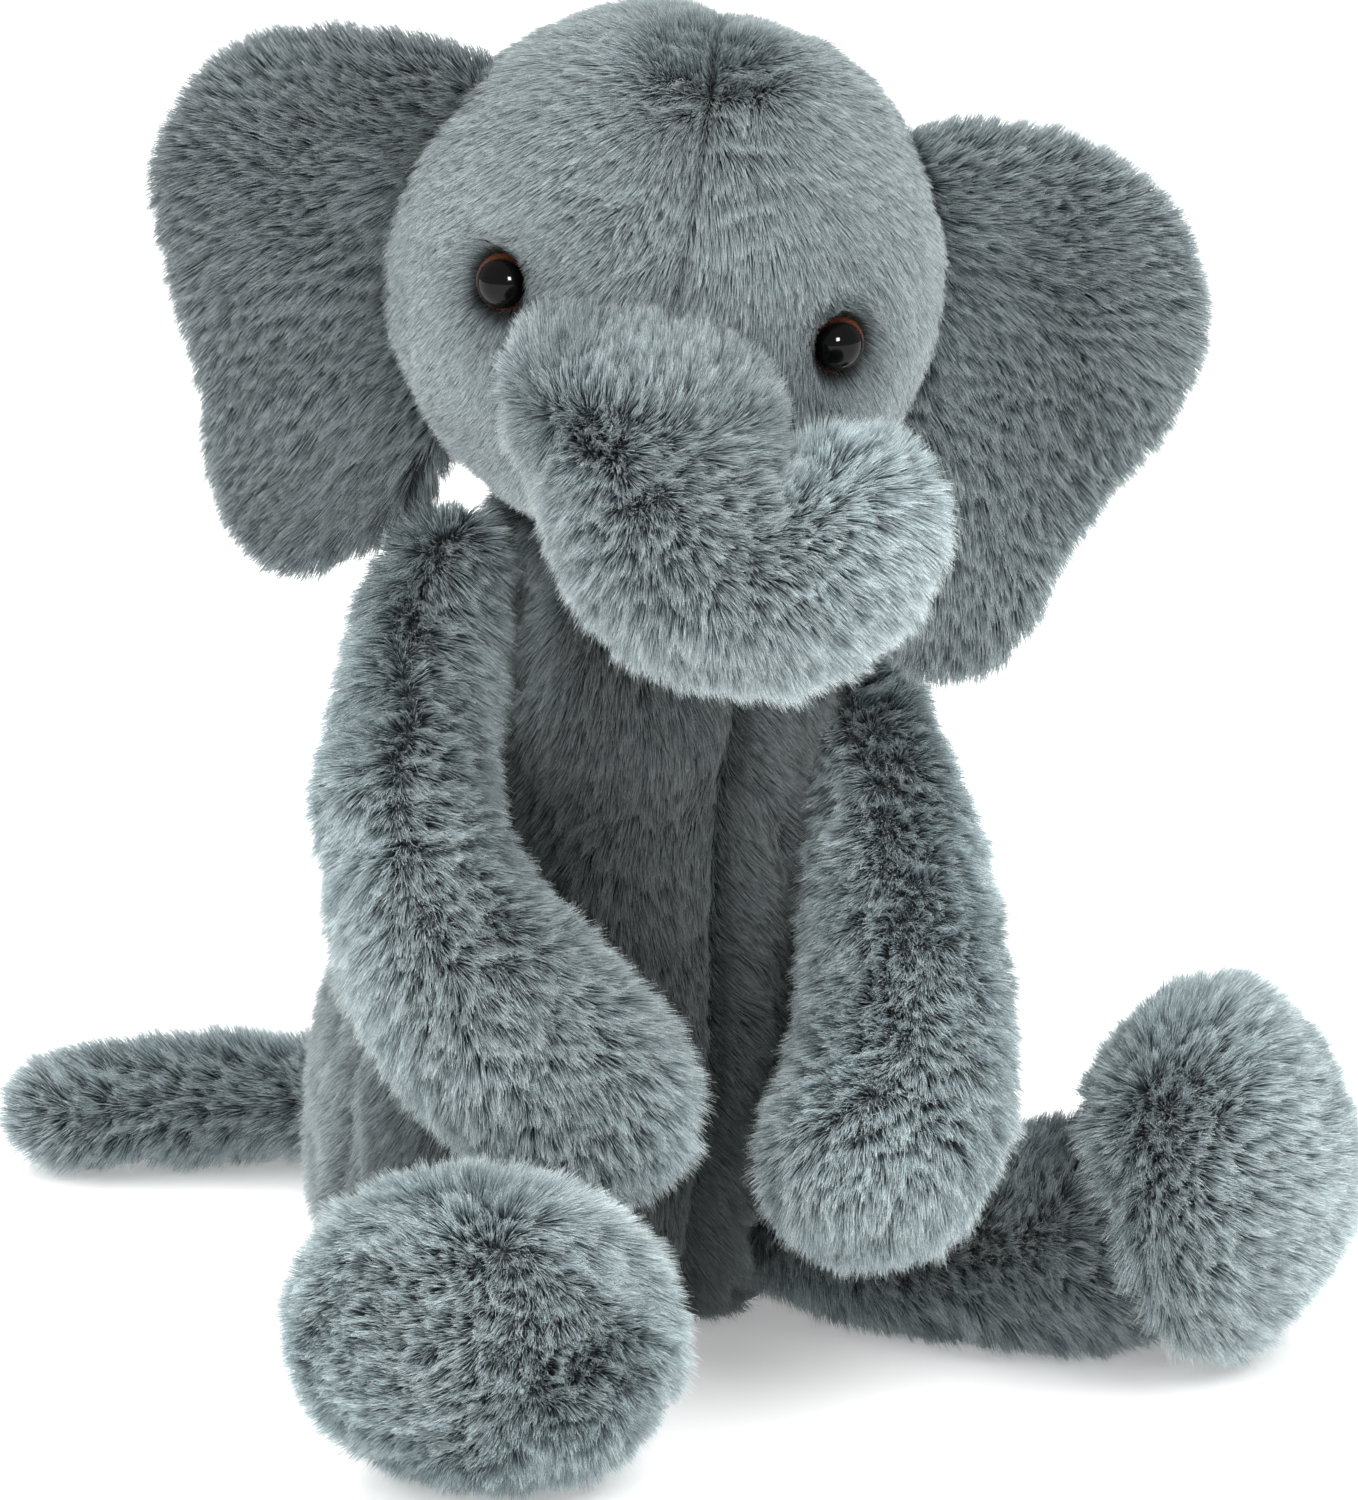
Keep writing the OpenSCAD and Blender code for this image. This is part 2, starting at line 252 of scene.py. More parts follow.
def hashed(corners, seed):
    """A number of 32 bits for each corner of a grid, the same in every run."""
    x, y, z = (corners[:, k] * np.uint64(PLACE_MIX[k]) for k in range(3))
    h = (x ^ y ^ z ^ np.uint64(seed * SEED_MIX & ALL_BITS)) & np.uint64(ALL_BITS)
    for _ in range(2):
        h = (h ^ h >> np.uint64(16)) * np.uint64(BIT_MIX) & np.uint64(ALL_BITS)
    return h ^ h >> np.uint64(16)


def value_noise(points, cell, seed):
    """Smooth noise from -1 to 1 with lumps about one cell across."""
    p = points / cell
    base = np.floor(p).astype(np.int64)
    f = eased(p - base)
    total = np.zeros(len(p))
    for corner in range(8):
        step = np.array([corner & 1, corner >> 1 & 1, corner >> 2 & 1])
        value = hashed((base + step).astype(np.uint64), seed).astype(float) / ALL_BITS * 2 - 1
        total += np.prod(np.where(step, f, 1 - f), axis=1) * value
    return total


def vector_noise(points, cell, seed):
    return np.stack([value_noise(points, cell, seed + k) for k in range(3)], axis=1)


# ---- Small tools: meshes --------------------------------------------------------------------------------


def points_of(piece):
    out = np.zeros(len(piece.data.vertices) * 3, np.float32)
    piece.data.vertices.foreach_get("co", out)
    return out.reshape(-1, 3).astype(float)


def normals_of(piece):
    out = np.zeros(len(piece.data.vertices) * 3, np.float32)
    piece.data.vertex_normals.foreach_get("vector", out)
    return out.reshape(-1, 3).astype(float)


def put_points(piece, points):
    piece.data.vertices.foreach_set("co", points.astype(np.float32).ravel())
    piece.data.update()


def keep(piece, name, values):
    """Stores values on the piece's points under a name that the materials and the strands read."""
    kind = "FLOAT" if values.ndim == 1 else "FLOAT_VECTOR"
    field = piece.data.attributes.new(name, kind, "POINT")
    field.data.foreach_set("value" if values.ndim == 1 else "vector", values.astype(np.float32).ravel())


def smooth_shaded(data):
    data.polygons.foreach_set("use_smooth", [True] * len(data.polygons))


def settle(piece):
    """Applies the piece's modifiers."""
    graph = bpy.context.evaluated_depsgraph_get()
    made = bpy.data.meshes.new_from_object(piece.evaluated_get(graph), depsgraph=graph)
    piece.modifiers.clear()
    piece.data = made
    made.name = piece.name


def subdivided(piece, levels):
    change = piece.modifiers.new("subdivision", "SUBSURF")
    change.levels = levels
    change.render_levels = levels
    settle(piece)


def smoothed(piece, rounds):
    change = piece.modifiers.new("smooth", "SMOOTH")
    change.factor = 0.5
    change.iterations = rounds
    settle(piece)


def largest_shell(piece):
    """Deletes everything but the outer shell, which reaches furthest up."""
    bm = bmesh.new()
    bm.from_mesh(piece.data)
    bm.verts.ensure_lookup_table()
    start = max(bm.verts, key=lambda v: v.co.z)
    found, edge_of_found = {start}, [start]
    while edge_of_found:
        v = edge_of_found.pop()
        for e in v.link_edges:
            other = e.other_vert(v)
            if other not in found:
                found.add(other)
                edge_of_found.append(other)
    bmesh.ops.delete(bm, geom=[v for v in bm.verts if v not in found], context="VERTS")
    bm.to_mesh(piece.data)
    bm.free()


def fused(name, nodes, voxel):
    """One closed shell round the CAD nodes."""
    bm = bmesh.new()
    for n in nodes:
        bm.from_mesh(frame["nodes"][n].data)
    data = bpy.data.meshes.new(name)
    bm.to_mesh(data)
    bm.free()
    piece = linked(name, data)
    change = piece.modifiers.new("remesh", "REMESH")
    change.mode = "VOXEL"
    change.voxel_size = voxel
    settle(piece)
    largest_shell(piece)
    return piece


# ---- Materials ------------------------------------------------------------------------------------------

# The pile's colours from the root of a fibre to its tip
ROOT = (0.022, 0.028, 0.031)
MIDDLE = (0.105, 0.134, 0.146)
OUTER = (0.335, 0.400, 0.418)
TIP = (0.65, 0.705, 0.705)
# How much lighter or darker one fibre is than the next
PALEST, DARKEST = 1.28, 0.72
# Streaks in a metre across the lay, and how much of their length along it is taken out
FINE_STREAKS, BROAD_STREAKS, DRAWN_OUT = 1500.0, 330.0, 0.85
RELIEF = 1.0 * MM
PUPIL = (0.003, 0.003, 0.003)
RIM_DARK, RIM_PALE = (0.045, 0.013, 0.006), (0.16, 0.055, 0.025)
WASHER_DARK, WASHER_PALE = (0.74, 0.74, 0.72), (0.86, 0.86, 0.84)


class Tree:
    """A node tree that is written as a list of steps, each giving its output socket."""

    def __init__(self, tree):
        self.tree = tree

    def add(self, kind, inputs=None, out=0, **settings):
        node = self.tree.nodes.new(kind)
        for key, value in settings.items():
            setattr(node, key, value)
        for key, value in (inputs or {}).items():
            self.put(node.inputs[key], value)
        return node.outputs[out]

    def put(self, socket, value):
        if isinstance(value, bpy.types.NodeSocket):
            self.tree.links.new(value, socket)
        else:
            socket.default_value = value

    def math(self, operation, a, b):
        return self.add("ShaderNodeMath", {0: a, 1: b}, operation=operation)

    def vector(self, operation, a, b=(0, 0, 0)):
        return self.add("ShaderNodeVectorMath", {0: a, 1: b}, operation=operation)

    def scaled(self, vector, factor):
        return self.add("ShaderNodeVectorMath", {0: vector, "Scale": factor}, operation="SCALE")

    def noise(self, place, scale, detail, out="Fac"):
        return self.add("ShaderNodeTexNoise", {"Vector": place, "Scale": scale, "Detail": detail}, out=out)

    def kept(self, name, out="Fac"):
        """What keep() stored on the piece."""
        return self.add("ShaderNodeAttribute", out=out, attribute_name=name)

    def ramp(self, factor, stops):
        node = self.tree.nodes.new("ShaderNodeValToRGB")
        self.put(node.inputs["Fac"], factor)
        elements = node.color_ramp.elements
        while len(elements) < len(stops):
            elements.new(0.5)
        for element, (place, colour) in zip(elements, stops):
            element.position = place
            element.color = (*colour, 1)
        return node.outputs["Color"]


def new_material(name, **finish):
    """A material, its tree and its shader, with the shader's uniform values set."""
    look = bpy.data.materials.new(name)
    look.use_nodes = True
    shader = look.node_tree.nodes["Principled BSDF"]
    for key, value in finish.items():
        shader.inputs[key.replace("_", " ")].default_value = value
    return look, Tree(look.node_tree), shader


def strand_material():
    """A pile fibre: dark at the root, frosted at the tip, no two quite alike."""
    look, tree, shader = new_material(
        "pile_fibre", Roughness=0.55, Specular_IOR_Level=0.2, Sheen_Weight=0.25, Sheen_Roughness=0.4)
    info = tree.tree.nodes.new("ShaderNodeHairInfo")
    shade = tree.kept("shade")
    random = tree.add(
        "ShaderNodeMapRange", {"Value": info.outputs["Random"], "To Min": DARKEST, "To Max": PALEST})
    colour = tree.ramp(info.outputs["Intercept"], [(0.0, ROOT), (0.38, MIDDLE), (0.78, OUTER), (1.0, TIP)])
    tone = tree.math("MULTIPLY", random, shade)
    tree.put(shader.inputs["Base Color"], tree.scaled(colour, tone))
    return look


def skin_material():
    """The pile as a surface: streaks along its lay, dark roots and painted shade between tufts, pale tops."""
    look, tree, shader = new_material("brushed_pile", Roughness=0.95, Sheen_Weight=0.35, Sheen_Roughness=0.5)
    lay = tree.kept("comb", "Vector")
    place = tree.add("ShaderNodeTexCoord", out="Object")
    along = tree.add("ShaderNodeVectorMath", {0: place, 1: lay}, out="Value", operation="DOT_PRODUCT")
    across = tree.vector("SUBTRACT", place, tree.scaled(lay, tree.math("MULTIPLY", along, DRAWN_OUT)))
    fine = tree.noise(across, FINE_STREAKS, 3.0)
    broad = tree.noise(across, BROAD_STREAKS, 4.0)
    streak = tree.math("ADD", tree.math("MULTIPLY", fine, 0.45), tree.math("MULTIPLY", broad, 0.55))
    contrast = tree.math("MULTIPLY", tree.math("SUBTRACT", streak, 0.5), 2.4)
    height = tree.math("ADD", contrast, tree.kept("tuft"))
    colour = tree.ramp(height, [(0.0, ROOT), (0.30, MIDDLE), (0.62, OUTER), (1.0, TIP)])
    tree.put(shader.inputs["Base Color"], tree.scaled(colour, tree.kept("shade")))
    relief = tree.add(
        "ShaderNodeBump", {"Strength": 0.7, "Distance": RELIEF, "Height": height}, out="Normal")
    tree.put(shader.inputs["Normal"], relief)
    return look


def eye_material():
    """Glossy moulded plastic: a black pupil, and a brown rim with fine spokes."""
    look, tree, shader = new_material("eye_gloss", Roughness=0.06, Specular_IOR_Level=0.15)
    place = tree.add("ShaderNodeTexCoord", out="Object")
    brown = tree.ramp(tree.noise(place, 2600.0, 2.0), [(0.3, RIM_DARK), (0.7, RIM_PALE)])
    # 6 and 7 are the node's two colours, and 2 is the colour that it gives
    colour = tree.add(
        "ShaderNodeMix", {"Factor": tree.kept("rim"), 6: (*PUPIL, 1), 7: brown}, out=2, data_type="RGBA")
    tree.put(shader.inputs["Base Color"], colour)
    return look


def washer_material():
    """Moulded matt plastic, a little uneven."""
    look, tree, shader = new_material("washer_plastic", Roughness=0.5)
    grain = tree.noise(tree.add("ShaderNodeTexCoord", out="Object"), 900.0, 3.0)
    tree.put(shader.inputs["Base Color"], tree.ramp(grain, [(0.3, WASHER_DARK), (0.7, WASHER_PALE)]))
    return look


FIBRE = strand_material()
PILE = skin_material()

# ---- The strands ----------------------------------------------------------------------------------------

STRAND_POINTS = 5
STRAND_RADIUS = 0.057 * MM
# How much of its radius a strand loses by its tip
TAPER = 0.8
# Strands on a square metre
DENSITY = 11.5e6
# Parts of the pile's length that a strand may have
SHORTEST, LONGEST = 0.62, 1.06
# Neighbours lean together in tufts, with locks inside them: lumps in a metre, and how far they lean
TUFTS, TUFT_LEAN = 170.0, 1.9
LOCKS, LOCK_LEAN = 620.0, 1.2
# How far one strand strays from the rest
STRAY = 0.16
# How far a strand's root leans with the comb, and how far the rest bends along the comb, towards the skin
# and with its tuft
ROOT_LEAN, COMB_BEND, DROOP, TUFT_BEND = 0.55, 0.55, 0.12, 0.42


def strand_tree():
    """Grows strands on a skin object, along its comb, pile, cover and loose fields."""
    group = bpy.data.node_groups.new("pile", "GeometryNodeTree")
    for name, way, kind in [
            ("Geometry", "INPUT", "Geometry"), ("Skin", "INPUT", "Object"), ("Density", "INPUT", "Float"),
            ("Seed", "INPUT", "Int"), ("Geometry", "OUTPUT", "Geometry")]:
        group.interface.new_socket(name, in_out=way, socket_type="NodeSocket" + kind)
    tree = Tree(group)
    given = group.nodes.new("NodeGroupInput")

    def field(name, kind="FLOAT"):
        return tree.add("GeometryNodeInputNamedAttribute", {"Name": name}, data_type=kind)

    def stored(points, name, value, kind="FLOAT"):
        return tree.add(
            "GeometryNodeStoreNamedAttribute", {"Geometry": points, "Name": name, "Value": value},
            data_type=kind, domain="POINT")

    def leaning(place, scale, detail, amount):
        lump = tree.noise(place, scale, detail, "Color")
        return tree.scaled(tree.vector("SUBTRACT", lump, (0.5, 0.5, 0.5)), amount)

    # the roots, scattered over the skin
    skin = tree.add(
        "GeometryNodeObjectInfo", {"Object": given.outputs["Skin"]}, out="Geometry", transform_space="RELATIVE")
    scatter = group.nodes.new("GeometryNodeDistributePointsOnFaces")
    tree.put(scatter.inputs["Mesh"], skin)
    tree.put(scatter.inputs["Density"], tree.math("MULTIPLY", given.outputs["Density"], field("cover")))
    tree.put(scatter.inputs["Seed"], given.outputs["Seed"])
    comb = field("comb", "FLOAT_VECTOR")
    place = tree.add("GeometryNodeInputPosition")
    together = tree.vector("ADD", leaning(place, TUFTS, 2.0, TUFT_LEAN), leaning(place, LOCKS, 1.0, LOCK_LEAN))
    stray = tree.add("FunctionNodeRandomValue", {0: (-STRAY,) * 3, 1: (STRAY,) * 3}, data_type="FLOAT_VECTOR")
    lean = tree.vector("ADD", tree.scaled(together, field("loose")), stray)
    away = scatter.outputs["Normal"]
    root_way = tree.vector("NORMALIZE", tree.vector("ADD", away, tree.scaled(comb, ROOT_LEAN)))
    # 2 and 3 are the node's lowest and highest number, and 1 is the number that it gives
    part = tree.add(
        "FunctionNodeRandomValue", {2: SHORTEST, 3: LONGEST, "Seed": 5}, out=1, data_type="FLOAT")
    points = stored(scatter.outputs["Points"], "lean", lean, "FLOAT_VECTOR")
    points = stored(points, "away", away, "FLOAT_VECTOR")
    points = stored(points, "length", tree.math("MULTIPLY", field("pile"), part))

    # a straight strand on each root, then bent
    line = tree.add("GeometryNodeCurvePrimitiveLine", {"End": (0, 0, 1)}, mode="POINTS")
    line = tree.add("GeometryNodeResampleCurve", {"Curve": line, "Count": STRAND_POINTS})
    turned = tree.add("FunctionNodeAlignRotationToVector", {"Vector": root_way}, axis="Z")
    placed = tree.add(
        "GeometryNodeInstanceOnPoints",
        {"Points": points, "Instance": line, "Rotation": turned, "Scale": field("length")})
    strands = tree.add("GeometryNodeRealizeInstances", {"Geometry": placed})
    t = tree.add("GeometryNodeSplineParameter", out="Factor")
    squared = tree.math("MULTIPLY", t, t)
    over = tree.vector("ADD", tree.scaled(comb, COMB_BEND), tree.scaled(field("away", "FLOAT_VECTOR"), -DROOP))
    aside = tree.scaled(field("lean", "FLOAT_VECTOR"), tree.math("MULTIPLY", t, TUFT_BEND))
    bend = tree.vector("ADD", tree.scaled(over, squared), aside)
    strands = tree.add(
        "GeometryNodeSetPosition", {"Geometry": strands, "Offset": tree.scaled(bend, field("length"))})
    left = tree.math("SUBTRACT", 1.0, tree.math("MULTIPLY", squared, TAPER))
    strands = tree.add(
        "GeometryNodeSetCurveRadius", {"Curve": strands, "Radius": tree.math("MULTIPLY", left, STRAND_RADIUS)})
    strands = tree.add("GeometryNodeSetMaterial", {"Geometry": strands, "Material": FIBRE})
    finish = group.nodes.new("NodeGroupOutput")
    tree.put(finish.inputs[0], strands)
    return group


STRANDS = strand_tree()


def grow(skin, body, density=1.0):
    """The pile on a skin, riding on one of the bodies that carry the skin."""
    pile = linked(skin.name + "_pile", bpy.data.hair_curves.new(skin.name + "_pile"))
    change = pile.modifiers.new("pile", "NODES")
    change.node_group = STRANDS
    _, skin_socket, density_socket, seed_socket = [
        item.identifier for item in STRANDS.interface.items_tree if item.in_out == "INPUT"]
    change[skin_socket] = skin
    change[density_socket] = DENSITY * density
    change[seed_socket] = len(bpy.data.hair_curves)
    pile.data.materials.append(FIBRE)
    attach(pile, body)


# ---- Skins ----------------------------------------------------------------------------------------------

VOXEL = 4.0 * MM
FIRST_ROUNDS = 4
CLOTH_FRAMES = 20
CLOTH_PRESSURE = 4.0
# The furthest that the cloth may swell, and how wide the stretch is that a seam holds
PUFF_CAP = 2.0 * MM
SEAM_PIN = 3.0 * MM
# A skin with no seam is this far from one
NO_SEAM = 1.0
# The pile lies flat where at least this part of its flow runs along the surface, and stands where none does
LIES_FLAT, LIES_EASE = 0.8, 1.3
# Sizes of the lumps on a skin: where the lay wanders, billows of the stuffing, tufts, and smaller tufts
WANDER, BILLOW, TUFT, SMALL_TUFT = 30 * MM, 26 * MM, 5.0 * MM, 2.4 * MM
# How high a tuft and a small tuft stand, in mm, and how much of a tuft's length along the lay is taken out
TUFT_HIGH, SMALL_TUFT_HIGH, TUFT_DRAWN_OUT = 0.45, 0.3, 0.6
# A seam's groove, and how far from it the pile parts and how strongly
FOLD_WIDE, FOLD_DEEP = 2.6 * MM, 2.0 * MM
PARTING_WIDE, PARTING = 6 * MM, 0.6
FLOOR_GAP = 0.4 * MM


def seam_field(points, panels):
    """About how far each point is from the nearest seam between two panels, and the way off it."""
    if len(panels) < 2:
        return np.full(len(points), NO_SEAM), np.zeros_like(points)
    far, place = [], []
    for panel in panels:
        data = frame["nodes"][panel].data
        tree = BVHTree.FromPolygons([v.co for v in data.vertices], [p.vertices for p in data.polygons])
        found = [tree.find_nearest(p) for p in points.tolist()]
        far.append([f[3] for f in found])
        place.append([tuple(f[0]) for f in found])
    far, place = np.array(far), np.array(place)
    order = np.argsort(far, axis=0)
    every = np.arange(len(points))
    return far[order[1], every] - far[order[0], every], unit(points - place[order[1], every])


def puff(piece, seam):
    """Swells the cloth between its seams, which are held."""
    before = points_of(piece)
    held = piece.vertex_groups.new(name="seam")
    for index, weight in enumerate(np.clip(1.4 - seam / SEAM_PIN, 0.05, 1.0).tolist()):
        held.add([index], weight, "REPLACE")
    change = piece.modifiers.new("cloth", "CLOTH")
    cloth = change.settings
    cloth.quality = 4
    cloth.mass = 0.25
    cloth.tension_stiffness = 12
    cloth.compression_stiffness = 12
    cloth.bending_stiffness = 0.6
    cloth.use_pressure = True
    cloth.uniform_pressure_force = CLOTH_PRESSURE
    cloth.shrink_min = -0.04
    cloth.vertex_group_mass = "seam"
    cloth.effector_weights.gravity = 0
    scene = bpy.context.scene
    for n in range(1, CLOTH_FRAMES + 1):
        scene.frame_set(n)
    graph = bpy.context.evaluated_depsgraph_get()
    after = points_of(piece.evaluated_get(graph))
    piece.modifiers.clear()
    scene.frame_set(1)
    moved = after - before
    size = np.linalg.norm(moved, axis=1, keepdims=True)
    put_points(piece, before + moved * np.minimum(1.0, PUFF_CAP / np.maximum(size, 1e-9)))
    piece.vertex_groups.clear()


def combed(points, normals, flow, swirl, seed):
    """The lay of the pile: along the flow, wandering by swirl. It is 1 long where it lies along the surface,
    and shortens to nothing where the flow would have to run into it or out of it, so the pile stands there."""
    way = along_surface(unit(flow) + vector_noise(points, WANDER, seed) * swirl, normals)
    size = np.linalg.norm(way, axis=1, keepdims=True)
    return unit(way) * np.clip(size / LIES_FLAT, 0, 1) ** LIES_EASE


def drawn_out(points, lay):
    """The points with distances along the lay shrunk, for tufts that run with it."""
    return points - lay * (np.sum(points * lay, axis=1, keepdims=True) * TUFT_DRAWN_OUT)


def stuffed(name, nodes, panels, sink, slack, voxel, levels):
    """One closed skin round the CAD nodes, sunk into them, smoothed and then puffed between its seams."""
    skin = fused(name, nodes, voxel)
    smoothed(skin, FIRST_ROUNDS)
    put_points(skin, points_of(skin) - normals_of(skin) * sink)
    smoothed(skin, slack)
    puff(skin, seam_field(points_of(skin), panels)[0])
    subdivided(skin, levels)
    return skin


def make_skin(name, nodes, panels, sink, pile, flow, shade=1.0, swirl=0.5, lean=0.4, loose=1.0, slack=2,
              voxel=VOXEL, levels=2, shape=None, fields=None, seed=1, tufts=1.0, billow=0.8, sewn=0.3,
              also=(), built_from=()):
    """A sewn and stuffed skin, ready for its pile. flow gives the pile's direction at each point, shape moves
    points before the pile is laid, and fields changes the pile's lay, length, cover and shade. lean is how far
    the pile lies over, loose how much its tufts part, slack how often the skin is smoothed, and sewn how much
    the seams show through the pile. also names more CAD nodes that the skin stands for, and built_from more
    that it is shaped on."""
    skin = stuffed(name, [*nodes, *built_from], panels, sink, slack, voxel, levels)
    points, normals = points_of(skin), normals_of(skin)
    seam, off_seam = seam_field(points, panels)
    if shape:
        points = shape(points, normals)
    lay = combed(points, normals, flow(points), swirl, seed)
    streaks = drawn_out(points, unit(lay))
    wave = value_noise(points, BILLOW, seed + 7)
    broad = value_noise(streaks, TUFT, seed + 11)
    small = value_noise(streaks, SMALL_TUFT, seed + 13)
    fold = sewn * bump(seam, FOLD_WIDE)
    lift = (billow * wave + tufts * (TUFT_HIGH * broad + SMALL_TUFT_HIGH * small)) * MM - FOLD_DEEP * fold
    points = points + normals * lift[:, None]
    points[:, 2] = np.maximum(points[:, 2], FLOOR_GAP)
    put_points(skin, points)

    def patchy(amount, cell, step):
        """About 1, and more or less by amount in patches one cell across."""
        return 1 + amount * value_noise(points, cell, seed + step)

    lay_over = lay * (lean * patchy(0.35, 18 * MM, 17))[:, None]
    parting = PARTING * sewn * bump(seam, PARTING_WIDE)
    values = {
        "comb": lay_over + along_surface(off_seam, normals) * parting[:, None],
        "pile": pile * patchy(0.12, 9 * MM, 19) * (1 - 0.35 * fold),
        "cover": np.ones(len(points)),
        # painted shade: the pile is darker along a seam's groove
        "shade": shade * patchy(0.12, 21 * MM, 23) * (1 - 0.3 * fold),
        # low between the tufts and along seams, where the skin is darker: its dark roots, and painted shade
        "tuft": 0.45 + 0.26 * broad + 0.2 * small - 0.3 * fold,
        "loose": np.full(len(points), loose),
    }
    if fields:
        fields(points, normals, values)
    for key, value in values.items():
        keep(skin, key, value)
    smooth_shaded(skin.data)
    skin.data.materials.append(PILE)
    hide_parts(*nodes, *also)
    return skin


def push(points, at, way, amount, reach):
    """Moves the points near a place, most at the place itself."""
    far = np.linalg.norm(points - at, axis=1)
    return points + unit(way) * (amount * bump(far, reach))[:, None]


def between(skin):
    """The skin's placement is baked into its points."""
    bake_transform(skin)


def steady(way):
    """A flow that is the same everywhere."""
    return lambda points: np.tile(way, (len(points), 1))


# ---- Torso and neck -------------------------------------------------------------------------------------

TORSO_PANELS = ["front_left_panel", "front_right_panel", "back_left_panel", "back_right_panel", "seat_panel"]
# How far from the middle of the belly the pile runs fully aside, and how much
BELLY_HALF, BELLY_ASIDE = 60 * MM, 0.5
# The belly lies in the shade of the head and arms, and that shade is painted into its colour as a darker front
BELLY_PAINTED_SHADE = 0.55
SHOULDER = joint_at("right_shoulder") + np.array([8, -2, 10]) * MM
SHOULDER_WAY = np.array([0.1, -0.2, 0.95])
SHOULDER_RISE, SHOULDER_REACH = 17 * MM, 24 * MM


def shoulder(points, normals):
    """The right shoulder is stuffed full, up towards the neck."""
    return push(points, SHOULDER, SHOULDER_WAY, SHOULDER_RISE, SHOULDER_REACH)


def torso_flow(points):
    """Down, and out to the sides from the middle of the belly."""
    side = (points[:, 0] - middle_of("front_left_panel", "front_right_panel")[0]) / BELLY_HALF
    out = steady(-UP)(points)
    out[:, 0] += np.clip(side, -1, 1) * BELLY_ASIDE
    return out


def torso_fields(points, normals, values):
    front = np.clip(-normals[:, 1] * 1.6, 0, 1)
    # painted shade: the front of the belly is darker, for the shadow of the head and arms above it
    values["shade"] *= 1 - BELLY_PAINTED_SHADE * front


def make_torso():
    skin = make_skin(
        "torso_skin", TORSO_PANELS + ["torso_stuffing", "seat_bean_bag"], TORSO_PANELS, sink=3.6 * MM,
        pile=8.0 * MM, flow=torso_flow, shade=0.9, lean=0.6, loose=0.7, slack=6, seed=3, shape=shoulder,
        fields=torso_fields, sewn=0.9, voxel=5 * MM)
    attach(skin, "torso")
    grow(skin, "torso")


def make_neck():
    """A short soft collar round the neck."""
    skin = make_skin(
        "neck_skin", ["neck_wad"], [], sink=-1.0 * MM, pile=7.0 * MM, flow=steady(-UP), shade=0.7, levels=1,
        seed=5)
    between(skin)
    grow(skin, "neck", 0.5)


# ---- Head -----------------------------------------------------------------------------------------------

TRUNK_ROOT = ["trunk_root_cover", "trunk_root_stuffing"]
EYES = ["left_eye", "right_eye"]
# From the CAD eye to its middle as it shows between the fur
EYE_SHIFT = (HEAD_Z * 2.2 - HEAD_X * 2.2) * MM
# The bare patch under an eye, and the dent that it sits in
EYE_PATCH = 5.9 * MM
EYE_DENT, EYE_DENT_REACH = 1.2 * MM, 8 * MM
# Round an eye the pile is combed away from it, shorter and darker with painted shade of the socket, as far as
# this
EYE_RING = 10 * MM
# The two cheeks, in mm in the head's own directions, and how far both are pushed over to its right
CHEEKS = [((-52, 6, -14), 3.0), ((54, 4, -12), 2.5)]
CHEEK_REACH = 30 * MM


def eye_frame(node):
    """Where an eye's middle is on the head, and which way it faces."""
    way = unit(middle_of(node) - HEAD_AT + EYE_SHIFT)
    return HEAD_AT + way * HEAD_R, way


def head_flow(points):
    """From the crown seam down and outwards over the cheeks."""
    side = ((points - HEAD_AT) @ HEAD_X)[:, None]
    return -HEAD_Z[None] + HEAD_X[None] * np.clip(side / (30 * MM), -1, 1) * 0.6 - HEAD_Y[None] * 0.1


def head_shape(points, normals):
    for node in EYES:
        at, way = eye_frame(node)
        points = push(points, at, -way, EYE_DENT, EYE_DENT_REACH)
    for place, amount in CHEEKS:
        points = push(points, in_head(*place), -HEAD_X, amount * MM, CHEEK_REACH)
    # the cheek bunches up under the left eye, where the trunk curls past it
    at, way = eye_frame("left_eye")
    return push(points, at - HEAD_Z * 13 * MM - HEAD_X * 1 * MM, way, 2.4 * MM, 6 * MM)


def head_fields(points, normals, values):
    for node in EYES:
        at, way = eye_frame(node)
        rel = points - at
        ahead = rel @ way
        off = rel - ahead[:, None] * way
        far = np.where(np.abs(ahead) < 20 * MM, np.linalg.norm(off, axis=1), 1.0)
        near = bump(far, EYE_RING)
        values["cover"] = np.where(far < EYE_PATCH, 0.0, values["cover"])
        values["comb"] = values["comb"] * (1 - near)[:, None] + unit(off) * (0.85 * near)[:, None]
        values["pile"] *= 1 - 0.45 * near
        # painted shade: darker pile round the eye, and a nearly black bare patch in its socket
        values["shade"] *= (1 - 0.45 * near) * np.where(far < EYE_PATCH * 1.1, 0.1, 1.0)


def make_head():
    skin = make_skin(
        "head_skin", HEAD_PANELS + ["head_stuffing"], HEAD_PANELS, also=TRUNK_ROOT, sink=4.4 * MM,
        pile=6.4 * MM, flow=head_flow, lean=0.85, loose=0.5, slack=8, shape=head_shape, fields=head_fields,
        seed=11, tufts=0.5, billow=0.5, sewn=0.35)
    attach(skin, "head")
    grow(skin, "head", 1.25)


# ---- Trunk ----------------------------------------------------------------------------------------------

TRUNK_PANELS = ["trunk_upper_panel", "trunk_under_panel"]
TRUNK_TIP = (42, -76, -25)
# The tip is painted paler than the rest, for the light that falls on it, as far as this
TIP_PAINTED_LIGHT, TIP_REACH = 0.5, 18 * MM
# How much of the pile's length is left at the face, and how far out it is full again
CREST_PILE, CREST_REACH = 0.72, 20 * MM
# How deep the root reaches into the face, and how much deeper it dives between the eyes
ROOT_DEEP, ROOT_DIVE = 13 * MM, 10 * MM
# Heights on the head between which the root starts to dive
DIVE_LOW, DIVE_HIGH = -12 * MM, 6 * MM


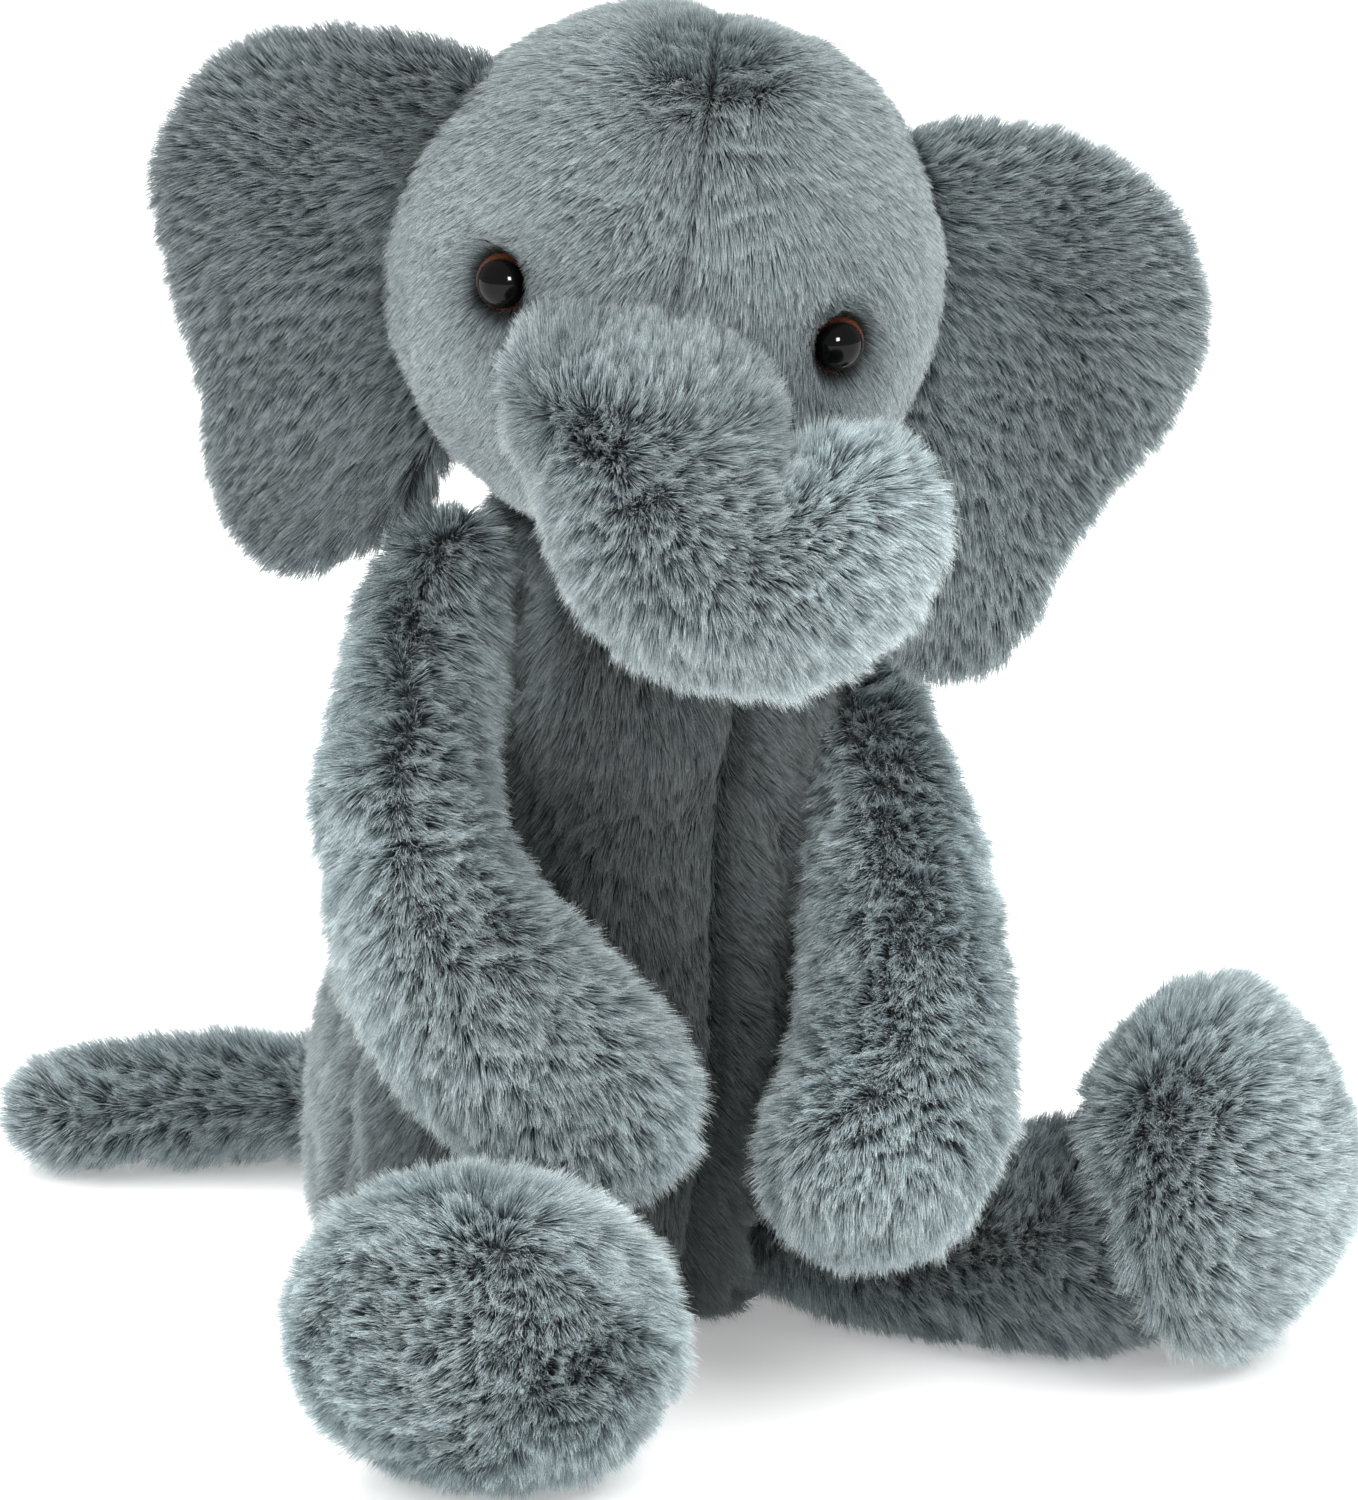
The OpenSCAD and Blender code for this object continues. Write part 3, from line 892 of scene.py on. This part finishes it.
def trunk_fields(points, normals, values):
    far = np.linalg.norm(points - HEAD_AT, axis=1)
    values["cover"] = np.where(far < HEAD_R - 6 * MM, 0.0, values["cover"])
    tip = bump(np.linalg.norm(points - in_head(*TRUNK_TIP), axis=1), TIP_REACH)
    # painted light: the tip, reaching out into the light, is paler
    values["shade"] *= 1 + TIP_PAINTED_LIGHT * tip
    crest = np.clip((far - HEAD_R + 2 * MM) / CREST_REACH, 0, 1)
    values["pile"] *= CREST_PILE + (1 - CREST_PILE) * crest


def trunk_shape(points, normals):
    # fullest between the eyes, where it leaves the face, and over its right side
    points = push(points, in_head(-3, -68, -10), -HEAD_Y + HEAD_Z * 0.6, 3 * MM, 15 * MM)
    points = push(points, in_head(-24, -56, -10), -HEAD_X - HEAD_Y * 0.3, 4.5 * MM, 18 * MM)
    # the root reaches into the face, and dives into it between the eyes
    out = points - HEAD_AT
    far = np.linalg.norm(out, axis=1)
    inside = np.clip(1 - (far - HEAD_R - 3 * MM) / (5 * MM), 0, 1)
    dive = eased(np.clip((out @ HEAD_Z - DIVE_LOW) / (DIVE_HIGH - DIVE_LOW), 0, 1))
    points = points - unit(out) * (ROOT_DEEP * inside * (1 - dive))[:, None]
    return points - unit(out) * (np.maximum(far - HEAD_R + ROOT_DIVE, 0) * dive)[:, None]


def make_trunk():
    at = joint_at("trunk_lift")
    tip = in_head(*TRUNK_TIP)

    def flow(points):
        # up over the crest of the root, and down along the trunk
        high = np.clip(((points - at) @ HEAD_Z) / (20 * MM), 0, 1)[:, None]
        return (unit(tip - at) * 0.6 - HEAD_Z * 0.5) * (1 - high) + (HEAD_Z * 0.9 - HEAD_Y * 0.2) * high

    skin = make_skin(
        "trunk_skin", TRUNK_PANELS + ["trunk_stuffing"], TRUNK_PANELS, built_from=TRUNK_ROOT, sink=2.4 * MM,
        pile=9.0 * MM, flow=flow, shade=1.12, lean=0.35, shape=trunk_shape, fields=trunk_fields, seed=17)
    forward = unit(HEAD_X * 0.45 - HEAD_Y * 0.8 - HEAD_Z * 0.35)
    between(skin)
    grow(skin, "trunk", 1.15)


# ---- Ears -----------------------------------------------------------------------------------------------

# name, side of the head, shade: the right ear is turned from the light
EARS = [("left_ear", 1, 0.97), ("right_ear", -1, 0.74)]
# How far the seamed edge tucks in to the head, and how wide a stretch of the ear does
TUCK, TUCK_WIDE = 9.5 * MM, 14 * MM
# The hollow of the ear's front
HOLLOW_DEEP, HOLLOW_REACH = 3.0 * MM, 24 * MM


def make_ear(name, side, shade):
    panels = [name + "_front", name + "_back"]
    hinge = joint_at(name + "_flap")
    out = HEAD_X * side
    middle = middle_of(*panels)

    def flow(points):
        high = np.clip(((points - hinge) @ HEAD_Z) / (40 * MM), -1.5, 1)[:, None]
        return out[None] * 0.6 + HEAD_Z[None] * (0.9 * high - 0.35)

    def shape(points, normals):
        # the seamed edge tucks in to the side of the head
        radial = points - HEAD_AT
        radial = radial - HEAD_Y * (radial @ HEAD_Y)[:, None]
        far = np.linalg.norm(radial, axis=1)
        tuck = np.clip(1 - (far - HEAD_R - 3 * MM) / TUCK_WIDE, 0, 1) ** 1.5
        points = points - unit(radial) * (TUCK * tuck)[:, None]
        front = np.clip(normals @ -HEAD_Y * 1.5, 0, 1)[:, None]
        hollow = middle + HEAD_Z * 18 * MM - out * 12 * MM
        far = np.linalg.norm(points - hollow, axis=1)
        points = points + HEAD_Y * front * (HOLLOW_DEEP * bump(far, HOLLOW_REACH))[:, None]
        if side > 0:
            # the left ear spreads a little wider and taller
            rel = points - hinge
            wide, tall = np.maximum(rel @ out, 0), np.maximum(rel @ HEAD_Z, 0)
            return points + out * (0.05 * wide)[:, None] + HEAD_Z * (0.06 * tall)[:, None]
        # the right ear's lobe hangs lower
        lobe = HEAD_AT + (out * 51 - HEAD_Z * 50) * MM
        return push(points, lobe, -out * 0.4 - HEAD_Z * 0.9, 4.5 * MM, 13 * MM)

    skin = make_skin(
        name + "_skin", panels + [name + "_wadding"], panels, sink=2.2 * MM, pile=8.0 * MM, flow=flow,
        shade=shade, lean=0.6, loose=0.6, voxel=3 * MM, slack=3, seed=23 + side, shape=shape, billow=1.2,
        sewn=0)
    between(skin)
    grow(skin, name)


# ---- Arms, legs, feet and tail --------------------------------------------------------------------------

# name, its two panels, joint, reach in mm, shade, seed, shape
LIMBS = [
    ("left_arm", ("outer", "inner"), "left_shoulder", 22, 1.42, 31, None),
    ("right_arm", ("outer", "inner"), "right_shoulder", 22, 1.32, 37, shoulder),
    ("left_leg", ("top", "under"), "left_hip", 18, 1.0, 41, None),
    ("right_leg", ("top", "under"), "right_hip", 18, 1.0, 43, None),
]
# name, leg, joint, shade, seed
FEET = [
    ("left_foot", "left_leg", "left_ankle", 1.4, 47),
    ("right_foot", "right_leg", "right_ankle", 1.42, 53),
]
LIMB_SINK, LIMB_PILE = 4.6 * MM, 9.0 * MM
TAIL_TIP = joint_at("tail_swing") + np.array([-85, 52, -3]) * MM
TAIL_WAY = np.array([-1, 0.1, 0])


def tail_shape(points, normals):
    """The tail's end is stuffed full."""
    return push(points, TAIL_TIP, TAIL_WAY, 6 * MM, 20 * MM)


def make_limb(name, kinds, joint, reach, shade, seed, shape):
    """An arm, a leg or the tail: sewn on the torso at its joint, and combed away from it."""
    panels = [name + "_" + kind + "_panel" for kind in kinds]
    root = joint_at(joint)
    way = unit(middle_of(*panels) - root)
    skin = make_skin(
        name + "_skin", panels + [name + "_stuffing"], panels, sink=LIMB_SINK, pile=LIMB_PILE,
        flow=steady(way), shade=shade, seed=seed, shape=shape, sewn=0.12)
    between(skin)
    grow(skin, name)


def make_foot(name, leg, joint, shade, seed):
    """A round foot on its leg, combed out over the sole."""
    panels = [name + "_cover", name + "_sole"]
    way = unit(middle_of(name + "_sole") - middle_of(*panels))
    skin = make_skin(
        name + "_skin", panels + [name + "_stuffing"], panels, sink=LIMB_SINK, pile=LIMB_PILE,
        flow=steady(way), shade=shade, seed=seed, swirl=0.9)
    between(skin)
    grow(skin, name)


# ---- Eyes -----------------------------------------------------------------------------------------------

EYE_SIDES = 64
EYE_R = 6.0 * MM
# How deep the dome sits under the skin, and how far it turns to the front
EYE_SUNK = 3.2 * MM
EYE_TURN = 2.0
# Across and ahead, in radii: the dome to its edge, the ledge behind it, and the stem
EYE_OUTLINE = [
    (0.0, 0.80), (0.25, 0.775), (0.45, 0.71), (0.62, 0.61), (0.76, 0.48), (0.84, 0.37), (0.90, 0.26),
    (0.95, 0.13), (0.985, 0.02), (1.0, -0.08), (0.98, -0.15), (0.9, -0.19), (0.42, -0.2), (0.41, -0.9),
    (0.40, -1.9), (0.34, -2.1), (0.0, -2.1),
]
# Where the brown rim starts, over how much it blends, and how far back it goes
RIM_START, RIM_BLEND, RIM_BACK = 0.87, 0.04, -0.12


def make_eye(node):
    """A turned dome with its rim, and the stem that holds it."""
    at, way = eye_frame(node)
    bm = bmesh.new()
    rim = bm.verts.layers.float.new("rim")
    rings = []
    for across, ahead in EYE_OUTLINE:
        brown = max(0.0, min(1.0, (across - RIM_START) / RIM_BLEND)) if ahead > RIM_BACK else 0.0
        ring = []
        for k in range(EYE_SIDES if across > 0 else 1):
            a = 2 * math.pi * k / EYE_SIDES
            v = bm.verts.new((across * EYE_R * math.cos(a), across * EYE_R * math.sin(a), ahead * EYE_R))
            v[rim] = brown
            ring.append(v)
        rings.append(ring)
    for low, high in zip(rings, rings[1:]):
        for k in range(EYE_SIDES):
            n = k + 1
            corners = [low[k % len(low)], low[n % len(low)], high[n % len(high)], high[k % len(high)]]
            bm.faces.new(list(dict.fromkeys(corners)))
    bmesh.ops.recalc_face_normals(bm, faces=bm.faces)
    data = bpy.data.meshes.new(node + "_dome")
    bm.to_mesh(data)
    bm.free()
    smooth_shaded(data)
    piece = linked(node + "_dome", data)
    # the eye faces a little more forwards than the head under it
    faces = unit(way - HEAD_Y * EYE_TURN)
    turn = Vector(faces).to_track_quat("Z", "Y").to_matrix().to_4x4()
    data.transform(Matrix.Translation(Vector(at - way * EYE_SUNK)) @ turn)
    data.materials.append(eye_material())
    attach(piece, "head")
    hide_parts(node)


# ---- The whole elephant ---------------------------------------------------------------------------------

make_torso()
make_neck()
make_head()
make_trunk()
for ear in EARS:
    make_ear(*ear)
for limb in LIMBS:
    make_limb(*limb)
for foot in FEET:
    make_foot(*foot)
make_limb("tail", ("top", "under"), "tail_swing", 20, 1.25, 59, tail_shape)

WASHER = washer_material()
for eye in EYES:
    make_eye(eye)
    for slot in frame["nodes"][eye + "_washer"].material_slots:
        slot.material = WASHER
